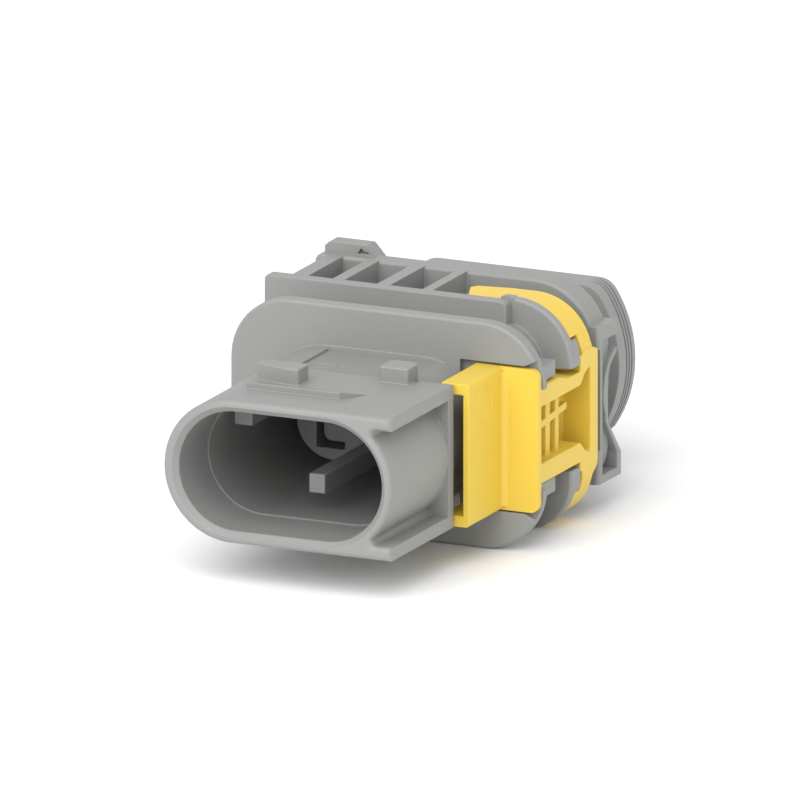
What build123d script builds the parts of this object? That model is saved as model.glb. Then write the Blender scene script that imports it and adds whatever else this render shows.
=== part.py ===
"""Sealed two-way connector: moulded housing, yellow secondary lock and two wire seals.

Millimetres. X is the width, Y runs from the mating mouth to the wire end, Z is up.
The origin is the centre of the mating mouth.
"""
import os

from build123d import *

# Mating shroud
shroud_half_width = 12.55
shroud_shift = -0.15
shroud_half_height = 7.4
shroud_wall = 1.4
mouth_round = 0.55
mouth_chamfer = 0.6
entry_relief = 0.15
entry_depth = 7.4
corner_plate_length = 15.1
corner_plate_web = 1.35
corner_fillet = 0.5

# Inside the shroud
terminal_pitch = 8.6
boss_radius = 4.0
boss_face_y = 22.4
cavity_depth = 30.5
coding_start = 9.3
coding_post_width = 1.76
coding_post_height = 2.0
coding_post_z = -2.8
key_rib_left = -9.0
key_rib_width = 1.9
key_rib_bottom = 2.4

# Catch bumps and marking recess on top of the shroud
bump_height = 1.7
left_bump_y = 8.1
right_bump_y = 13.0
wedge_y = 5.0
recess_start = 14.5
recess_left = -5.0
recess_depth = 0.25
recess_margin = 0.8

# How far the lock's block stands out from the shroud, and its width
block_stand_out = 1.5
block_width = 3.1

# Flanges, from front to rear
flange_left_margin = 3.5
flange_right_margin = 4.15
flange_top_margin = 4.3
flange_corner = 6.5
front_flange_y = 23.7
front_flange_thickness = 1.7
flange_spacing = 6.4
rail_plate_thickness = 1.4
rail_plate_inset = 7.65
side_flange_inset = 0.95
side_flange_top_rise = 0.1
side_flange_corner = 6.5
side_flange_bottom_corner = 5.1
side_flange_thickness = 0.9
side_flange_left = 9.2
side_pad_thickness = 2.0
side_pad_half_height = 7.8
side_opening_top = 4.6
side_opening_bottom = 5.4
rail_length = 8.0
rear_flange_thickness = 3.4
rear_flange_left_inset = 1.2
rear_flange_right_inset = 2.15
rear_flange_corner = 6.6
edge_round = 0.35
shroud_right = shroud_half_width + shroud_shift
block_right = shroud_right + block_stand_out
block_left = block_right - block_width
flange_half_height = shroud_half_height + flange_top_margin
flange_left = shroud_half_width - shroud_shift + flange_left_margin
flange_right = block_right + flange_right_margin
rail_plate_y = front_flange_y + front_flange_thickness + flange_spacing
rail_plate_right = flange_right - rail_plate_inset
side_flange_right = flange_right - side_flange_inset
side_flange_top = flange_half_height + side_flange_top_rise
rear_flange_y = rail_plate_y + rail_plate_thickness + rail_length
rear_flange_left = flange_left - rear_flange_left_inset
rear_flange_right = flange_right - rear_flange_right_inset

# Hub between the flanges, and the ribs of the top rail by their left and right edges
hub_side_depth = 2.2
hub_top_depth = 2.3
hub_corner = 4.6
rail_ribs = [(-13.6, -11.9), (-9.2, -7.9), (-4.3, -2.9), (0.7, 1.8)]
hub_left = flange_left - hub_side_depth
hub_right = hub_left
hub_half_height = flange_half_height - hub_top_depth
rail_floor = hub_half_height - 1

# Stop and wing on the rear flange
stop_height = 1.15
stop_left = 14.3
wing_inset = 1.55
wing_length = 1.6
wing_top = 7.5
wing_bottom = 8.8
ledge_thickness = 1.5
wing_hole_radius = 4.2
wing_rim = 0.55

# Wire end
collar_radius = 12.8
collar_neck_radius = 11.7
collar_half_height = 8.0
collar_corner = 2.2
collar_wall = 1.3
collar_length = 13.1
collar_ring_length = 3.9
collar_recess_depth = 7.2
ring_groove = 0.3
tower_radius = 4.9
tower_drop = 0.6
seal_bore_radius = 3.7
seal_bore_depth = 11.2
chamber_width = 4.2
chamber_height = 4.2
collar_end = rear_flange_y + rear_flange_thickness + collar_length
collar_ring_y = collar_end - collar_ring_length
seal_seat_y = collar_end - seal_bore_depth

# Secondary lock
lock_travel = 1.5
lock_gap = 0.2
block_length = 8.2
panel_thickness = 0.7
block_bar = 1.15
block_corner = 0.45
lock_flange_inset = 0.25
lock_flange_thickness = 0.8
flange_blend = 0.7
beam_inner_z = 2.95
beam_outer_z = 5.0
beam_rear_top = 4.4
band_inset = 0.1
band_top_drop = 0.3
band_top_corner = 6.1
band_bottom_drop = 0.2
band_bottom_corner = 5.3
band_end_x = 4.15
band_rear_gap = 2.9
lip_gap = 1.1
lip_half_height = 6.3
lip_round = 0.8
skin_thickness = 1.1
window_flare = 4.35
back_wall_thickness = 1.2
grid_bar = 0.8
grid_rise = 0.7
tine_width = 4.0
tine_thickness = 1.1
tine_z = 2.95
block_front = front_flange_y - block_length
lock_flange_right = flange_right - lock_flange_inset
band_right = side_flange_right - band_inset
band_top = flange_half_height - band_top_drop
band_bottom = flange_half_height - band_bottom_drop
band_rear = rear_flange_y - band_rear_gap
lip_rear = rear_flange_y - lip_gap
pad_rear = rail_plate_y + rail_plate_thickness + side_pad_thickness
beam_end = pad_rear + lock_gap

# Wire seals
seal_length = 8.5
wire_hole_radius = 1.2
seal_squeeze = 0.05
seal_rib = 0.35

# Longer than anything here: for tools that cut right through
through = 60


def block(x, y, z):
    """A box from low and high limits on each axis."""
    size = (x[1] - x[0], y[1] - y[0], z[1] - z[0])
    centre = ((x[0] + x[1]) / 2, (y[0] + y[1]) / 2, (z[0] + z[1]) / 2)
    return Pos(*centre) * Box(*size)


def along_y(sketch, start, end):
    """A sketch drawn with x as X and y as Z, run from one Y to another."""
    plane = Plane(origin=(0, start, 0), x_dir=(1, 0, 0), z_dir=(0, -1, 0))
    return extrude(plane * sketch, -(end - start))


def along_z(points, low, high):
    """A plan outline in X and Y, run from one Z to another."""
    return extrude(Pos(0, 0, low) * make_face(Polyline(*points, close=True)), high - low)


def along_x(points, low, high):
    """A side outline in Y and Z, run from one X to another."""
    plane = Plane(origin=(low, 0, 0), x_dir=(0, 1, 0), z_dir=(1, 0, 0))
    return extrude(plane * make_face(Polyline(*points, close=True)), high - low)


def oval(half_width, half_height):
    return SlotOverall(2 * half_width, 2 * half_height)


def outline(left, right, half_height, corner):
    width = left + right
    return Pos((right - left) / 2, 0) * RectangleRounded(width, 2 * half_height, corner)


def right_half(x):
    """All the space to the right of one X."""
    return block((x, x + through), (-through, 2 * through), (-through, through))


def uneven_outline(right, top, bottom, top_corner, bottom_corner):
    """A plate outline whose right corners differ; its left edge is on the centre line."""
    face = Pos(right / 2, (top - bottom) / 2) * Rectangle(right, top + bottom)
    corners = face.vertices().group_by(Axis.X)[-1].sort_by(Axis.Y)
    face = fillet(corners[1:], top_corner)
    lower = face.vertices().sort_by(Axis.Y)[:2].sort_by(Axis.X)[-1:]
    return fillet(lower, bottom_corner)


def edges_at(solid, y):
    """The edges that lie wholly at one Y."""
    return solid.edges().filter_by_position(Axis.Y, y - 0.001, y + 0.001)


def rounded_plate(sketch, start, end, radius):
    plate = along_y(sketch, start, end)
    return fillet(edges_at(plate, start) + edges_at(plate, end), radius)


def mirrored(solid):
    """A solid together with its mirror image below the centre plane."""
    return solid + mirror(solid, about=Plane.XY)


def shroud():
    outer = Pos(shroud_shift, 0) * oval(shroud_half_width, shroud_half_height)
    front = along_y(fillet(squared_corners(outer), corner_fillet), 0, corner_plate_length)
    front = fillet(edges_at(front, 0), mouth_round)
    shell = along_y(outer, corner_plate_length - 1, front_flange_y + 1) - right_half(lock_cut())
    return front + shell + corner_web() + shroud_nose()


def lock_cut():
    """The X right of which the shroud gives way to the lock's hollow block."""
    return block_left - lock_travel - lock_gap


def squared_corners(outer):
    """The oval with flat plates added on its right, and the inner corners to round."""
    right = shroud_right
    inner = shroud_half_height - shroud_wall
    centre = right - shroud_half_height
    plate = Pos((centre + right) / 2, (inner + shroud_half_height) / 2) * Rectangle(
        right - centre, shroud_wall)
    face = outer + plate + mirror(plate, about=Plane.XZ)
    reach = (shroud_half_height ** 2 - inner ** 2) ** 0.5 + centre
    return face.vertices().sort_by_distance((reach, inner, 0))[:1] + face.vertices().sort_by_distance(
        (reach, -inner, 0))[:1]


def corner_web():
    """The wall that closes the right side of the shroud behind its plates."""
    half = shroud_half_height - shroud_wall / 2
    start = corner_plate_length - corner_plate_web
    x = (shroud_right - shroud_half_height, shroud_right)
    return block(x, (start, corner_plate_length), (-half, half))


def shroud_nose():
    """The thin round wall that the lock's block goes round."""
    thin = panel_inner() - lock_travel - 0.15
    thin_h = shroud_half_height - shroud_wall + thin - cavity_half_width()
    nose = along_y(oval(thin, thin_h), corner_plate_length - 1, front_flange_y + 1)
    return nose & right_half(lock_cut() - 1)


def cavity_half_width():
    return shroud_right - shroud_wall


def panel_inner():
    return block_right - panel_thickness


def mating_cavity():
    inner_w = cavity_half_width()
    inner_h = shroud_half_height - shroud_wall
    space = along_y(oval(inner_w, inner_h), -1, cavity_depth)
    space += along_y(oval(inner_w + entry_relief, inner_h + entry_relief), -1, entry_depth)
    return space + mouth_bevel(inner_w + entry_relief, inner_h + entry_relief)


def mouth_bevel(width, height):
    grow = mouth_chamfer + 0.3
    near = Plane(origin=(0, -0.3, 0), x_dir=(1, 0, 0), z_dir=(0, -1, 0))
    deep = Plane(origin=(0, mouth_chamfer, 0), x_dir=(1, 0, 0), z_dir=(0, -1, 0))
    return loft([near * oval(width + grow, height + grow), deep * oval(width, height)])


def inside_features():
    """The coding post, the key rib and the two terminal bosses."""
    floor = cavity_depth + mouth_chamfer
    half = coding_post_width / 2
    low = coding_post_z - coding_post_height / 2
    parts = block((-half, half), (coding_start, floor), (low, low + coding_post_height))
    wall = shroud_half_height - shroud_wall / 2
    key = block((key_rib_left, key_rib_left + key_rib_width), (coding_start, floor),
                (key_rib_bottom, wall))
    parts += key & along_y(oval(shroud_half_width - shroud_wall / 2, wall), 0, through)
    reach = terminal_pitch / 2
    for x in (-reach, reach):
        parts += along_y(Pos(x, 0) * Circle(boss_radius), boss_face_y, floor)
    web_bottom = 0.57 * boss_radius
    return parts + block((-reach, reach), (boss_face_y, floor), (-web_bottom, boss_radius - 0.2))


def terminal_slots():
    """An L-shaped mouth in each boss that leads into its terminal chamber."""
    start = boss_face_y - 1
    end = front_flange_y + front_flange_thickness + 1
    points = [(-1.8, -2.8), (1.3, -2.8), (1.3, -2.02), (-1, -2.02), (-1, 1.6), (-1.8, 1.6)]
    shape = make_face(Polyline(*points, close=True))
    inner = shape.vertices().sort_by_distance((-1, -2.02, 0))[:1]
    slot = along_y(fillet(inner, 0.9), start, end)
    return Pos(-terminal_pitch / 2, 0, 0) * slot + Pos(terminal_pitch / 2, 0, 0) * slot


def chambers():
    start = front_flange_y + front_flange_thickness
    half_w = chamber_width / 2
    half_h = chamber_height / 2
    space = None
    for x in (-terminal_pitch / 2, terminal_pitch / 2):
        room = block((x - half_w, x + half_w), (start, seal_seat_y + 1), (-half_h, half_h))
        room += along_y(Pos(x, 0) * Circle(seal_bore_radius), seal_seat_y, collar_end + 1)
        space = room if space is None else space + room
    return space


def lock_bumps():
    """The two catch bumps on top of the shroud, with rounded edges."""
    y = left_bump_y
    plan = [(-1.5, y), (-1.5, y + 2.6), (-5.8, y + 2.6), (-6.6, y + 2), (-6.6, y + 1.1),
            (-5.4, y + 0.6), (-4.1, y + 0.25), (-2.8, y + 0.05)]
    left = catch_bump(plan, bump_height)
    y = right_bump_y
    plan = [(5.1, y), (8.3, y), (8.3, y + 2.4), (7.8, y + 3), (5.6, y + 3), (5.1, y + 2.4)]
    return left + catch_bump(plan, bump_height - 0.05)


def catch_bump(plan, height):
    low = shroud_half_height - shroud_wall / 2
    top = shroud_half_height + height
    bump = along_z(plan, low, top)
    bump = fillet(bump.edges().filter_by(Axis.Z), 0.28)
    return fillet(bump.edges().group_by(Axis.Z)[-1], 0.2)


def wedge_rib():
    """The shallow ramp in front of the catch bumps, cut off on a slant at its right end."""
    low = shroud_half_height - shroud_wall / 2
    rear = wedge_y + 2.8
    peak = shroud_half_height + 0.7
    ramp = [(wedge_y, low), (rear, low), (rear, shroud_half_height), (wedge_y, peak)]
    end = 6.2
    tip = along_z([(4.45, wedge_y), (end, rear), (through, rear), (through, wedge_y)], 0, through)
    return along_x(ramp, -5.8, end) - tip


def marking_recess():
    """The shallow blank recess where a marking would be."""
    floor = shroud_half_height - recess_depth
    end = front_flange_y - recess_margin
    right = lock_cut() - recess_margin / 2
    return block((recess_left, right), (recess_start, end), (floor, shroud_half_height + 1))


def front_flange():
    rear = front_flange_y + front_flange_thickness
    plate = rounded_plate(outline(flange_left, flange_right, flange_half_height, flange_corner),
                          front_flange_y, rear, edge_round)
    slot_x = lock_cut()
    half = shroud_half_height + lock_gap
    floor = front_flange_y + lock_flange_thickness
    plate -= block((slot_x, flange_right + 1), (0, floor), (-half, half))
    return plate - flare_cut(half, floor)


def flare_cut(half, floor):
    """The outer end of the recess opens out a little above and below."""
    side = flange_right + 0.3
    points = [(flange_right - 2.1, half - 0.1), (side, half + 1.1), (side, half - 0.1)]
    face = make_face(Polyline(*points, close=True))
    return mirrored(along_y(face, 0, floor))


def hub():
    start = front_flange_y + front_flange_thickness - 0.2
    return along_y(outline(hub_left, hub_right, hub_half_height, hub_corner), start, rear_flange_y + 0.2)


def lock_channel():
    """The side opening that takes the lock's spine, shelves and grid."""
    low = panel_inner() - lock_travel - lock_gap
    half = beam_outer_z + lock_gap
    return block((low, through), (front_flange_y - 1, rear_flange_y), (-half, half))


def tine_slots():
    low = -terminal_pitch / 2 - chamber_width / 2 - lock_travel - 1
    mid = (front_flange_y + front_flange_thickness + rail_plate_y) / 2 + 0.6
    y = (mid - tine_width / 2 - lock_gap, mid + tine_width / 2 + lock_gap)
    reach = tine_thickness / 2 + lock_gap
    return mirrored(block((low, hub_right + 1), y, (tine_z - reach, tine_z + reach)))


def guide_blocks():
    """Guides above and below the side opening, between the two flanges."""
    low = beam_outer_z + lock_gap
    start = front_flange_y + front_flange_thickness - 0.2
    x = (hub_right - 2, side_flange_right - 0.5)
    return mirrored(block(x, (start, start + 0.8 * flange_spacing), (low, low + 1.6)))


def rail_plate():
    rear = rail_plate_y + rail_plate_thickness
    return rounded_plate(outline(flange_left, rail_plate_right, flange_half_height, 0.6),
                         rail_plate_y, rear, edge_round / 2)


def side_flange():
    """The rounded plate right of the rail plate, with a thicker pad beside the opening."""
    start = rail_plate_y + rail_plate_thickness
    rear = start + side_flange_thickness
    shape = uneven_outline(side_flange_right, side_flange_top, flange_half_height,
                           side_flange_corner, side_flange_bottom_corner)
    plate = along_y(shape, start - 0.1, rear)
    plate = fillet(edges_at(plate, start - 0.1), edge_round) & right_half(side_flange_left)
    pad = side_pad_half_height
    thick = along_y(shape, rear - 0.2, pad_rear) & right_half(hub_right - 1)
    plate += thick & block((0, through), (0, through), (-pad, pad))
    plate += stop_nubs() + top_nub(start, rear)
    z = (-side_opening_bottom, side_opening_top)
    return plate - block((rail_plate_right, through), (0, through), z)


def stop_nubs():
    """Two small nubs on the rear of the pads, against the band's edge."""
    top = side_pad_half_height
    profile = [(pad_rear - 0.3, top - 1.7), (pad_rear + 0.5, top - 1.4), (pad_rear + 0.5, top - 0.5),
               (pad_rear - 0.3, top - 0.15)]
    return mirrored(along_x(profile, side_flange_right - 1.4, side_flange_right - 0.5))


def top_nub(start, rear):
    """The small rounded nub at the left end of the side flange's top."""
    top = side_flange_top + 0.15
    nub = block((side_flange_left, side_flange_left + 1.6), (start - 0.1, rear), (side_flange_top - 2, top))
    return fillet(nub.edges().filter_by(Axis.Y).group_by(Axis.Z)[-1], 0.4)


def top_rail():
    start = rail_plate_y + rail_plate_thickness - 0.2
    ribs = None
    for left, right in rail_ribs:
        rib = block((left, right), (start, rear_flange_y + 0.2), (rail_floor, flange_half_height))
        ribs = rib if ribs is None else ribs + rib
    return mirrored(ribs)


def rear_flange():
    rear = rear_flange_y + rear_flange_thickness
    top = flange_half_height
    big = outline(rear_flange_left, rear_flange_right, top, rear_flange_corner)
    small = outline(rear_flange_left, rear_flange_right, top, 0.8)
    join = right_half(2)
    plate = rounded_plate(big, rear_flange_y, rear, edge_round) & join
    plate += rounded_plate(small, rear_flange_y, rear, edge_round) - join
    plate -= block((-through, -3.7), (rear - 1.3, through), (top - 0.9, through))
    return plate + rear_stop()


def rear_stop():
    """The raised stop at the rear left end of the top rail."""
    low = flange_half_height - 0.4
    top = flange_half_height + stop_height
    start = rear_flange_y + 1
    left = -stop_left
    points = [(left, low), (left, top - 0.45), (left + 0.5, top), (left + 4.6, top), (left + 6, low)]
    stop = along_y(make_face(Polyline(*points, close=True)), start, start + 2)
    mark = [(left + 3.6, top - 0.95), (left + 5, top - 0.85), (left + 4, top - 0.4)]
    return stop - along_y(make_face(Polyline(*mark, close=True)), start - 1, start + 0.5)


def side_wing():
    """The right-hand wing: a ledge, a lower arm, and a rim round its rear cut-out."""
    outer = flange_right - wing_inset
    deep = rear_flange_right - 1.6
    front = rear_flange_y - 0.3
    rear = rear_flange_y + rear_flange_thickness + wing_length
    wing = block((deep, outer), (front, rear), (-wing_bottom, wing_top))
    wing -= block((0, through), (rear - 1.1, through), (wing_top - 4.5, through))
    wing = fillet(wing.edges().filter_by(Axis.Z).group_by(Axis.X)[-1].sort_by(Axis.Y)[:1], 0.45)
    ledge = wing_top - ledge_thickness
    pocket = block((deep + 0.2, through), (front + 0.8, rear - 0.9), (0.9 - wing_bottom, ledge))
    return wing - (pocket - wing_edge(rear, wing_rim)) - wing_edge(rear, 0)


def wing_edge(rear, grow):
    """The curved and slanted rear cut-out of the wing, grown by the rim's thickness."""
    centre = Pos(flange_right, rear + 0.6, 0.2) * Rot(0, 90, 0)
    round_part = centre * Cylinder(wing_hole_radius + grow, 8)
    if grow:
        round_part &= block((0, through), (0, through), (-3, wing_top - ledge_thickness + 0.2))
    y = rear - 3.1 - grow
    slant = [(y, -2.6), (rear + 0.2 - grow, -6.6 - 0.8 * grow), (rear + 1, -6.6 - 0.8 * grow),
             (rear + 1, 2), (y, 1)]
    return round_part + along_x(slant, rear_flange_right / 2, 2 * flange_right)


def collar():
    """The flat-sided round collar at the wire end, with two seal towers inside."""
    start = rear_flange_y + rear_flange_thickness - 0.3
    body = along_y(flat_round(collar_neck_radius), start, collar_end)
    body += along_y(flat_round(collar_radius), collar_ring_y, collar_end) - ring_grooves()
    half = collar_neck_radius - collar_wall
    inside = outline(half, half, collar_half_height - collar_wall, collar_half_height - 2 * collar_wall)
    floor = collar_end - collar_recess_depth
    body -= along_y(inside, floor, through + collar_end)
    for x in (-terminal_pitch / 2, terminal_pitch / 2):
        body += along_y(Pos(x, 0) * Circle(tower_radius), floor - 0.5, collar_end - tower_drop)
    return body


def flat_round(radius):
    """A circle with flats above and below, and the corners between them rounded."""
    shape = Circle(radius) & Rectangle(4 * radius, 2 * collar_half_height)
    return fillet(shape.vertices(), collar_corner)


def ring_grooves():
    """Three fine grooves round the collar's end."""
    cuts = None
    for step in (2, 4, 6):
        low = collar_ring_y + 1 + step * ring_groove
        cut = along_y(flat_round(collar_radius + 1) - flat_round(collar_radius - ring_groove),
                      low, low + ring_groove)
        cuts = cut if cuts is None else cuts + cut
    return cuts


def housing():
    solid = shroud() + front_flange() + hub() + rail_plate() + side_flange() + top_rail()
    solid += rear_flange() + side_wing() + collar() + guide_blocks()
    solid -= mating_cavity() + marking_recess()
    solid += inside_features() + lock_bumps() + wedge_rib()
    solid -= lock_channel() + tine_slots()
    solid -= terminal_slots()
    solid -= chambers()
    return solid


def lock_front():
    """The hollow front block and its flange, with a blended inner corner."""
    half = shroud_half_height
    rear = front_flange_y + lock_flange_thickness / 2
    whole = block((block_left, block_right), (block_front, rear), (-half, half))
    whole = fillet(whole.edges().filter_by(Axis.Y).sort_by(Axis.X)[-2:], block_corner)
    inner = half - block_bar
    whole -= block((0, panel_inner()), (0, through), (-inner, inner))
    return whole + lock_flange() + inner_blend(half - block_corner)


def inner_blend(half):
    """The hollow curve between the block's side panel and the flange."""
    size = flange_blend
    x = block_right - 0.05
    y = front_flange_y - 0.05
    square = make_face(Polyline((x, y), (x + size, y), (x + size, y - size), (x, y - size), close=True))
    curve = square - Pos(x + size, y - size) * Circle(size - 0.05)
    low = curve.faces().sort_by_distance((x, y, 0))[0]
    return extrude(Pos(0, 0, -half) * low, 2 * half)


def lock_flange():
    half = shroud_half_height
    front = front_flange_y - 0.1
    plate = along_y(Pos((panel_inner() + lock_flange_right) / 2, 0) *
                    Rectangle(lock_flange_right - panel_inner(), 2 * half),
                    front, front + lock_flange_thickness)
    return fillet(plate.edges().filter_by(Axis.Y).sort_by(Axis.X)[-2:], 0.9)


def shelves():
    """The spine and the two shelves whose outer edges show as the side beams."""
    front = front_flange_y
    spine = block((panel_inner(), block_right), (front, band_rear), (-beam_outer_z, beam_rear_top))
    shelf = block((panel_inner(), band_right), (front, beam_end), (beam_inner_z, beam_outer_z))
    low = beam_end - 5
    slope = [(low, beam_outer_z), (low + 2.1, beam_rear_top), (through, beam_rear_top),
             (through, 2 * beam_outer_z), (low, 2 * beam_outer_z)]
    return spine + mirrored(shelf) - along_x(slope, 0, through)


def band_outline(inset):
    return uneven_outline(band_right - inset, band_top - inset, band_bottom - inset,
                          band_top_corner - inset, band_bottom_corner - inset)


def band():
    """The curved strip behind the side flange, with its lip on the right."""
    near = rail_plate_y + rail_plate_thickness + lock_gap
    start = near + side_flange_thickness
    hoop = band_outline(0) - band_outline(skin_thickness)
    ring = along_y(hoop, near, band_rear) & mirrored(band_plan(near, start))
    pad = side_pad_half_height + lock_gap
    ring -= block((block_right, through), (0, beam_end), (-pad, pad))
    ring -= mirrored(block((block_right, through), (0, beam_end + 0.5), (pad - 2, pad)))
    return ring + lip()


def lip():
    """The raised strip behind the side window, with a rounded outer edge."""
    half = lip_half_height
    rear = lip_rear
    side = [(beam_end, -half - 0.6), (band_rear, -half - 0.6), (rear - 0.9, -half), (rear, -half + 1.6),
            (rear, half - 1.6), (rear - 0.7, half - 0.4), (band_rear, half), (beam_end, half)]
    low = band_right - skin_thickness
    plan = Polyline((low, beam_end), (low, rear), (band_right, rear), (band_right, beam_end), close=True)
    face = make_face(plan)
    face = fillet(face.vertices().sort_by_distance((band_right, rear, 0))[:1], lip_round)
    strip = extrude(Pos(0, 0, -2 * half) * face, 4 * half)
    keep = block((0, through), (beam_end + 0.5, through), (-through, through))
    return strip & keep & along_x(side, 0, through)


def band_plan(near, start):
    """The strip seen from above: a slanted free end and a step round the side flange."""
    step = side_flange_left - lock_gap
    end = band_end_x
    points = [(end + 1.35, near), (step, near), (step, start), (through, start), (through, band_rear),
              (end + 4, band_rear), (end + 0.5, band_rear - 0.6), (end, band_rear - 1.4)]
    return along_z(points, 0, through)


def lock_window():
    """The side window between the beams, which widens at its rear end."""
    rear = band_rear - 0.5
    half = [(beam_end, beam_inner_z), (beam_end + 0.5, beam_inner_z + 0.4),
            (beam_end + 1, beam_inner_z + 0.95), (rear - 0.6, window_flare - 0.1), (rear, window_flare)]
    lower = [(y, -z) for y, z in reversed(half)]
    near = beam_end - 3
    points = [(near, -beam_inner_z), (near, beam_inner_z)] + half + lower
    return along_x(points, block_right, through)


def lock_back():
    """The skin that joins the beams to the band, and the wall behind the window."""
    x = (band_right - skin_thickness, band_right)
    skin = block(x, (beam_end - 1, band_rear), (-beam_outer_z, beam_rear_top))
    skin += block(x, (beam_end, band_rear), (-beam_outer_z - 1, beam_rear_top + 1.5))
    start = band_rear - 0.5
    wall = block((panel_inner(), band_right - 0.3), (start, start + back_wall_thickness),
                 (-beam_outer_z, beam_rear_top))
    return skin, wall


def grid():
    """The thin bars inside the side window."""
    x = (band_right - 1.6, band_right - 1.0)
    half = grid_bar / 2
    reach = beam_inner_z + 0.3
    rear = beam_end - 1.2
    front = front_flange_y + 0.3
    slant = [(front, -half), (rear, grid_rise), (rear, grid_rise + grid_bar), (front, half)]
    bars = along_x(slant, *x)
    for low, high in ((rear - 4.9, rear - 3.9), (rear - 2.6, rear - 1.8)):
        bars += block(x, (low, high), (-reach, reach))
    return bars


def tines():
    low = -terminal_pitch / 2 - chamber_width / 2 - 0.6
    mid = (front_flange_y + front_flange_thickness + rail_plate_y) / 2 + 0.6
    y = (mid - tine_width / 2, mid + tine_width / 2)
    half = tine_thickness / 2
    return mirrored(block((low, block_right), y, (tine_z - half, tine_z + half)))


def secondary_lock():
    skin, wall = lock_back()
    outer = shelves() + band() + skin - lock_window()
    return outer + wall + grid() + lock_front() + tines()


def wire_seal(x):
    """A rubber seal with three outer ribs and a hole for one wire."""
    outer = seal_bore_radius + seal_squeeze
    start = seal_seat_y
    body = along_y(Circle(outer - seal_rib), start, start + seal_length)
    rib = seal_length / 7
    for step in (0, 2, 4, 6):
        low = start + step * rib
        body += along_y(Circle(outer), low, low + rib)
    body -= along_y(Circle(wire_hole_radius), start - 1, start + seal_length + 1)
    return Pos(x, 0, 0) * body


def main():
    os.makedirs("parts", exist_ok=True)
    export_step(housing(), "parts/housing.step")
    export_step(secondary_lock(), "parts/secondary_lock.step")
    export_step(wire_seal(-terminal_pitch / 2), "parts/wire_seal_left.step")
    export_step(wire_seal(terminal_pitch / 2), "parts/wire_seal_right.step")


main()
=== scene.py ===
# Sealed connector: moulded grey housing, yellow secondary lock, two rubber wire seals.
# Metres. X is the width, Y runs from the mating mouth to the wire end, Z is up.
import math

import bmesh
import bpy
from mathutils import Matrix, Vector
from mathutils.bvhtree import BVHTree
from mathutils.interpolate import poly_3d_calc
from mathutils.kdtree import KDTree


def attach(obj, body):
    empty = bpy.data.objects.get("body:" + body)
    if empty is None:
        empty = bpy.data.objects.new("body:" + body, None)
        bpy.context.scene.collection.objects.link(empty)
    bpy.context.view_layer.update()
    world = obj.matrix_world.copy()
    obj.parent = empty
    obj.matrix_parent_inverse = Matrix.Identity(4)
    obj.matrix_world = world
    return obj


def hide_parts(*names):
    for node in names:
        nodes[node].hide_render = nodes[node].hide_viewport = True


# gaps in metres, angles in degrees, area in square metres, facings as the dot product of two normals,
# and reach, inset and shares as parts of an edge's rounding, a face or an edge
meshing = {"seamGap": 0.000005, "weldGap": 0.000001, "flatAngle": 0.6, "sharpAngle": 34, "smoothAngle": 40}
roomTest = {"shares": (0.01, 0.25, 0.5, 0.75, 0.99), "gap": 0.00002, "facing": 0.9}
foldTest = {"area": 1e-12, "facing": -0.2, "reach": 1.5, "passes": 12}
shading = {"faceGap": 0.000012, "faceFacing": 0.96, "inset": 0.02,
           "cornerGap": 0.000006, "flatFacing": 0.9, "blendFacing": 0.6}


def deselectAll():
    if bpy.context.mode != "OBJECT":
        bpy.ops.object.mode_set(mode="OBJECT")
    bpy.ops.object.select_all(action="DESELECT")


def applyModifier(piece, kind, **values):
    modifier = piece.modifiers.new(kind.lower(), kind)
    for key, value in values.items():
        setattr(modifier, key, value)
    bpy.context.view_layer.objects.active = piece
    bpy.ops.object.modifier_apply(modifier=modifier.name)


def roundedCopy(node, name, shape):
    # the CAD form with its sharp moulded edges rounded over
    deselectAll()
    node.select_set(True)
    bpy.context.view_layer.objects.active = node
    bpy.ops.object.duplicate()
    piece = bpy.context.active_object
    piece.name = name
    joinFlats(piece)
    form = BVHTree.FromPolygons([point.co for point in node.data.vertices],
                                [tuple(face.vertices) for face in node.data.polygons])
    markRoomyEdges(piece, form, shape)
    roundWithoutFolds(piece, form, shape)
    piece.data.name = name
    bpy.ops.object.shade_smooth_by_angle(angle=math.radians(meshing["smoothAngle"]))
    keepMouldedShading(piece, node.data, form)
    return piece


def joinFlats(piece):
    # closes the seams of the CAD mesh and joins the triangles of each flat face
    bpy.ops.object.mode_set(mode="EDIT")
    bpy.ops.mesh.select_all(action="SELECT")
    bpy.ops.mesh.remove_doubles(threshold=meshing["seamGap"])
    bpy.ops.mesh.mark_sharp(clear=True)
    bpy.ops.mesh.dissolve_limited(angle_limit=math.radians(meshing["flatAngle"]))
    bpy.ops.mesh.select_all(action="SELECT")
    bpy.ops.mesh.vert_connect_concave()
    bpy.ops.object.mode_set(mode="OBJECT")
    if piece.data.has_custom_normals:
        bpy.ops.mesh.customdata_custom_splitnormals_clear()


def listSharpEdges(mesh):
    return [edge for edge in mesh.edges
            if len(edge.link_faces) == 2 and edge.calc_face_angle(0) > math.radians(meshing["sharpAngle"])]


def markRoomyEdges(piece, form, shape):
    # only sharp edges with enough flat beside them get rounded over
    mesh = bmesh.new()
    mesh.from_mesh(piece.data)
    weights = mesh.edges.layers.float.new("bevel_weight_edge")
    sharpEdges = listSharpEdges(mesh)
    for edge in sharpEdges:
        if hasRoom(edge, form, shape["edge"] * shape["room"]):
            edge[weights] = 1.0
    keepCornersApart(sharpEdges, weights)
    print(piece.name, "edges rounded:", sum(edge[weights] > 0 for edge in sharpEdges), "of", len(sharpEdges))
    mesh.to_mesh(piece.data)
    mesh.free()


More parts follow.
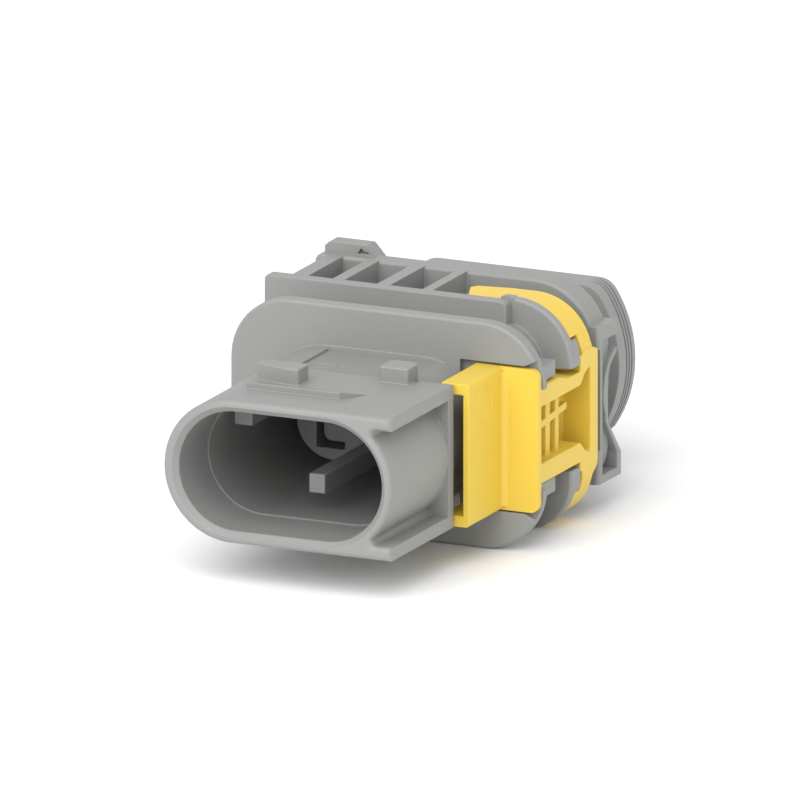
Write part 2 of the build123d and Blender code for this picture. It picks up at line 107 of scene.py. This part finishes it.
def hasRoom(edge, form, reach):
    for loop in edge.link_loops:
        start, end = loop.vert.co, loop.link_loop_next.vert.co
        inward = loop.face.normal.cross((end - start).normalized())
        for share in roomTest["shares"]:
            _, normal, _, distance = form.find_nearest(start.lerp(end, share) + inward * reach)
            if distance > roomTest["gap"] or normal.dot(loop.face.normal) < roomTest["facing"]:
                return False
    return True


def keepCornersApart(sharpEdges, weights):
    # a hollow edge stays square where it meets a proud rounded one beside an edge that stays square
    sharpSet = set(sharpEdges)
    corners = {point for edge in sharpEdges for point in edge.verts}
    crossing = sharpEdges
    while crossing:
        crossing = []
        for point in corners:
            here = [edge for edge in point.link_edges if edge in sharpSet]
            rounded = [edge for edge in here if edge[weights] > 0]
            if len(rounded) < len(here) and any(edge.is_convex for edge in rounded):
                crossing += [edge for edge in rounded if not edge.is_convex]
        for edge in crossing:
            edge[weights] = 0.0


def roundWithoutFolds(piece, form, shape):
    # starts again from the square mesh, with fewer edges to round, while a face folds over
    square = piece.data.copy()
    folds = roundOver(piece, form, shape)
    for _ in range(foldTest["passes"]):
        if not folds:
            break
        keepSquareNear(square, folds, shape["edge"] * foldTest["reach"])
        folded = piece.data
        piece.data = square.copy()
        bpy.data.meshes.remove(folded)
        folds = roundOver(piece, form, shape)
    bpy.data.meshes.remove(square)


def roundOver(piece, form, shape):
    # rounds the marked edges and gives the points of faces that folded over in a tight corner
    applyModifier(piece, "BEVEL", width=shape["edge"], segments=shape["segments"], limit_method="WEIGHT",
                  miter_outer="MITER_SHARP", use_clamp_overlap=False, loop_slide=False)
    settleStrays(piece, form, shape["stray"])
    applyModifier(piece, "WELD", merge_threshold=meshing["weldGap"])
    applyModifier(piece, "TRIANGULATE", min_vertices=5)
    points = piece.data.vertices
    folds = []
    for face in piece.data.polygons:
        _, surface, _, _ = form.find_nearest(face.center)
        if face.area > foldTest["area"] and surface.dot(face.normal) < foldTest["facing"]:
            folds += [points[index].co.copy() for index in face.vertices]
    return folds


def settleStrays(piece, form, reach):
    # points that the rounding threw off the moulded form go back onto it
    moved = 0
    for point in piece.data.vertices:
        spot, _, _, distance = form.find_nearest(point.co)
        if distance > reach:
            point.co = spot
            moved += 1
    piece.data.update()
    print(piece.name, "points settled:", moved)


def keepSquareNear(square, folds, reach):
    near = KDTree(len(folds))
    for index, point in enumerate(folds):
        near.insert(point, index)
    near.balance()
    mesh = bmesh.new()
    mesh.from_mesh(square)
    weights = mesh.edges.layers.float["bevel_weight_edge"]
    for point in mesh.verts:
        _, _, distance = near.find(point.co)
        if distance < reach:
            for edge in point.link_edges:
                edge[weights] = 0.0
    sharpEdges = listSharpEdges(mesh)
    keepCornersApart(sharpEdges, weights)
    print("edges still rounded:", sum(edge[weights] > 0 for edge in sharpEdges))
    mesh.to_mesh(square)
    mesh.free()


def keepMouldedShading(piece, source, form):
    # faces of the moulded form shade as it does, and only the rounded edges blend between them
    mesh = piece.data
    normals = [corner.vector.copy() for corner in mesh.corner_normals]
    for face in mesh.polygons:
        _, surface, _, distance = form.find_nearest(face.center)
        onForm = distance < shading["faceGap"] and surface.dot(face.normal) > shading["faceFacing"]
        facing = shading["flatFacing"] if onForm else shading["blendFacing"]
        for corner in face.loop_indices:
            point = mesh.vertices[mesh.loops[corner].vertex_index].co
            if onForm:
                point = point.lerp(face.center, shading["inset"])
            spot, surface, index, distance = form.find_nearest(point)
            if distance < shading["cornerGap"] and surface.dot(face.normal) > facing:
                normals[corner] = mouldedNormal(source, source.polygons[index], spot)
    mesh.normals_split_custom_set(normals)


def mouldedNormal(source, face, spot):
    corners = [source.vertices[index].co for index in face.vertices]
    normal = Vector((0, 0, 0))
    for share, corner in zip(poly_3d_calc(corners, spot), face.loop_indices):
        normal += source.corner_normals[corner].vector * share
    return normal.normalized()


def newMaterial(name, color, roughness):
    material = bpy.data.materials.new(name)
    material.use_nodes = True
    shader = material.node_tree.nodes["Principled BSDF"]
    shader.inputs["Base Color"].default_value = (*color, 1)
    shader.inputs["Roughness"].default_value = roughness
    return material


def addNode(tree, kind, **inputs):
    node = tree.nodes.new(kind)
    for key, value in inputs.items():
        node.inputs[key.replace("_", " ")].default_value = value
    return node


# the colour drifts between two tones, and one fine grain drives both the gloss and the bump
plastic = {"flowDetail": 3.0, "grainDetail": 2.0, "shadeFrom": 0.3, "colorFrom": 0.7,
           "glossier": 0.05, "duller": 0.06, "grainHeight": 0.00002}


def mouldedPlastic(name, look):
    material = newMaterial(name, look["color"], look["roughness"])
    tree = material.node_tree
    shader = tree.nodes["Principled BSDF"]
    place = tree.nodes.new("ShaderNodeTexCoord")
    flow = addNode(tree, "ShaderNodeTexNoise", Scale=look["flowScale"], Detail=plastic["flowDetail"])
    grain = addNode(tree, "ShaderNodeTexNoise", Scale=look["grainScale"], Detail=plastic["grainDetail"])
    for texture in (flow, grain):
        tree.links.new(place.outputs["Object"], texture.inputs["Vector"])
    tint = tree.nodes.new("ShaderNodeValToRGB")
    shadeEnd, colorEnd = tint.color_ramp.elements
    shadeEnd.position, shadeEnd.color = plastic["shadeFrom"], (*look["shade"], 1)
    colorEnd.position, colorEnd.color = plastic["colorFrom"], (*look["color"], 1)
    tree.links.new(flow.outputs["Fac"], tint.inputs["Fac"])
    tree.links.new(tint.outputs["Color"], shader.inputs["Base Color"])
    gloss = addNode(tree, "ShaderNodeMapRange", To_Min=look["roughness"] - plastic["glossier"],
                    To_Max=look["roughness"] + plastic["duller"])
    tree.links.new(grain.outputs["Fac"], gloss.inputs["Value"])
    tree.links.new(gloss.outputs["Result"], shader.inputs["Roughness"])
    bump = addNode(tree, "ShaderNodeBump", Strength=look["grainDepth"], Distance=plastic["grainHeight"])
    tree.links.new(grain.outputs["Fac"], bump.inputs["Height"])
    tree.links.new(bump.outputs["Normal"], shader.inputs["Normal"])
    return material


def dress(piece, material):
    piece.data.materials.clear()
    piece.data.materials.append(material)


def dressField(piece, material, field):
    # the blank marking field has the fine texture of an eroded mould face
    piece.data.materials.append(material)
    slot = len(piece.data.materials) - 1
    for face in piece.data.polygons:
        x, y, z = face.center
        inside = field["x"][0] < x < field["x"][1] and field["y"][0] < y < field["y"][1]
        if inside and abs(z - field["z"]) < field["gap"] and face.normal.z > field["facing"]:
            face.material_index = slot


def witnessRing(name, ring, facing):
    # a plain raised ring, as an ejector pin's mark, on a flat face
    deselectAll()
    bpy.ops.mesh.primitive_torus_add(major_radius=ring["radius"], minor_radius=ring["width"] / 2,
                                     major_segments=80, minor_segments=12)
    piece = bpy.context.active_object
    piece.name = name
    piece.data.name = name
    piece.scale = (1, 1, ring["rise"] / (ring["width"] / 2))
    piece.rotation_euler = Vector(facing).to_track_quat("Z", "Y").to_euler()
    piece.location = ring["place"]
    bpy.ops.object.transform_apply(location=True, rotation=True, scale=True)
    bpy.ops.object.shade_smooth()
    return piece


def addArea(name, lamp, target):
    light = bpy.data.lights.new(name, "AREA")
    light.shape = "DISK"
    light.size = lamp["size"]
    light.energy = lamp["power"]
    source = bpy.data.objects.new(name, light)
    bpy.context.collection.objects.link(source)
    source.location = lamp["place"]
    source.rotation_euler = (Vector(target) - Vector(lamp["place"])).to_track_quat("-Z", "Y").to_euler()


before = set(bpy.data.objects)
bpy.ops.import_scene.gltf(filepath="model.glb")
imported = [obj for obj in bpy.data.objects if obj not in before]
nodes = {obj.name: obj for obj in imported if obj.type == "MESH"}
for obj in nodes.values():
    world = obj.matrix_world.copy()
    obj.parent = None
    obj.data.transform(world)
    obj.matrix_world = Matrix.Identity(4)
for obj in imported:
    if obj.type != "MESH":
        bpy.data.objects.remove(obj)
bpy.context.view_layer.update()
print("frame loaded:", sorted(nodes))

greyLook = {"color": (0.25, 0.254, 0.247), "shade": (0.24, 0.244, 0.237), "roughness": 0.48,
            "flowScale": 90, "grainScale": 7000, "grainDepth": 0.25}
yellowLook = {"color": (0.705, 0.5, 0.062), "shade": (0.685, 0.485, 0.058), "roughness": 0.44,
              "flowScale": 90, "grainScale": 7000, "grainDepth": 0.2}
texturedLook = {"color": (0.238, 0.242, 0.235), "shade": (0.218, 0.222, 0.215), "roughness": 0.56,
                "flowScale": 2600, "grainScale": 3600, "grainDepth": 0.9}
rubberLook = {"color": (0.30, 0.085, 0.05), "shade": (0.25, 0.07, 0.04), "roughness": 0.55,
              "flowScale": 300, "grainScale": 9000, "grainDepth": 0.3}
greyPlastic = mouldedPlastic("greyMouldedPlastic", greyLook)
texturedPlastic = mouldedPlastic("greyTexturedPlastic", texturedLook)
yellowPlastic = mouldedPlastic("yellowMouldedPlastic", yellowLook)
sealRubber = mouldedPlastic("brownSealRubber", rubberLook)
print("materials ready")

housingShape = {"edge": 0.00012, "segments": 3, "room": 2.8, "stray": 0.00006}
markField = {"x": (-0.005, 0.0087), "y": (0.0145, 0.0229), "z": 0.00715, "gap": 0.00002, "facing": 0.99}
housing = roundedCopy(nodes["housing"], "housingShell", housingShape)
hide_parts("housing")
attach(housing, "housing")
dress(housing, greyPlastic)
dressField(housing, texturedPlastic, markField)
print("housing shell:", len(housing.data.polygons), "faces")

lockShape = {"edge": 0.00012, "segments": 3, "room": 2.8, "stray": 0.00006}
lock = roundedCopy(nodes["secondary_lock"], "lockSlide", lockShape)
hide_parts("secondary_lock")
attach(lock, "secondary_lock")
dress(lock, yellowPlastic)
print("lock:", len(lock.data.polygons), "faces")

sealShape = {"edge": 0.0001, "segments": 2, "room": 1.2, "stray": 0.00004}
for side in ("left", "right"):
    seal = roundedCopy(nodes["wire_seal_" + side], "wireSeal" + side.capitalize(), sealShape)
    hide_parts("wire_seal_" + side)
    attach(seal, "housing")
    dress(seal, sealRubber)
print("wire seals done")

topRings = [{"place": (-0.00275, 0.0167, 0.00715), "radius": 0.00135, "width": 0.0002, "rise": 0.00007},
            {"place": (0.004, 0.0204, 0.00715), "radius": 0.00135, "width": 0.0002, "rise": 0.00007}]
sideRing = {"place": (0.0139, 0.0193, 0.0044), "radius": 0.0017, "width": 0.0002, "rise": 0.00006}
for number, ring in enumerate(topRings, 1):
    mark = witnessRing("topWitnessRing%d" % number, ring, (0, 0, 1))
    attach(mark, "housing")
    dress(mark, greyPlastic)
mark = witnessRing("lockWitnessRing", sideRing, (1, 0, 0))
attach(mark, "secondary_lock")
dress(mark, yellowPlastic)
print("witness rings done")

# soft lights that aim at the part's middle, and a floor that the flanges rest on
middle = (0, 0.029, 0)
lamps = {"keyLight": {"place": (0.0, -0.64, 0.72), "size": 1.1, "power": 8.0},
         "fillLight": {"place": (0.0, -0.8, 0.3), "size": 0.5, "power": 1.0},
         "sideLight": {"place": (0.85, -0.35, 0.3), "size": 0.6, "power": 0.9}}
for name, lamp in lamps.items():
    addArea(name, lamp, middle)

studio = {"floorSize": 6.0, "floorHeight": -0.0117, "floorColor": (0.92, 0.92, 0.92), "floorRoughness": 0.8,
          "worldColor": (1, 1, 1, 1), "worldStrength": 0.88}
deselectAll()
bpy.ops.mesh.primitive_plane_add(size=studio["floorSize"], location=(0, 0, studio["floorHeight"]))
floor = bpy.context.active_object
floor.name = "studioFloor"
dress(floor, newMaterial("paleFloor", studio["floorColor"], studio["floorRoughness"]))

world = bpy.data.worlds.new("studioWorld")
world.use_nodes = True
sky = world.node_tree.nodes["Background"]
sky.inputs["Color"].default_value = studio["worldColor"]
sky.inputs["Strength"].default_value = studio["worldStrength"]
bpy.context.scene.world = world
bpy.context.scene.view_settings.view_transform = "Standard"

# orthographic, 0.08 m wide, from the front right and a little above
view = {"right": (0.9081, 0.4188, 0.0), "up": (-0.1070, 0.2319, 0.9668), "back": (0.4049, -0.8780, 0.2554),
        "shiftRight": 0.01222, "shiftUp": 0.0078, "distance": 0.6, "width": 0.08}
right, up, back = Vector(view["right"]), Vector(view["up"]), Vector(view["back"])
lens = bpy.data.cameras.new("photoCamera")
lens.type = "ORTHO"
lens.ortho_scale = view["width"]
camera = bpy.data.objects.new("photoCamera", lens)
bpy.context.collection.objects.link(camera)
turn = Matrix((right, up, back)).transposed().to_4x4()
turn.translation = right * view["shiftRight"] + up * view["shiftUp"] + back * view["distance"]
camera.matrix_world = turn
bpy.context.scene.camera = camera
print("studio and camera ready")
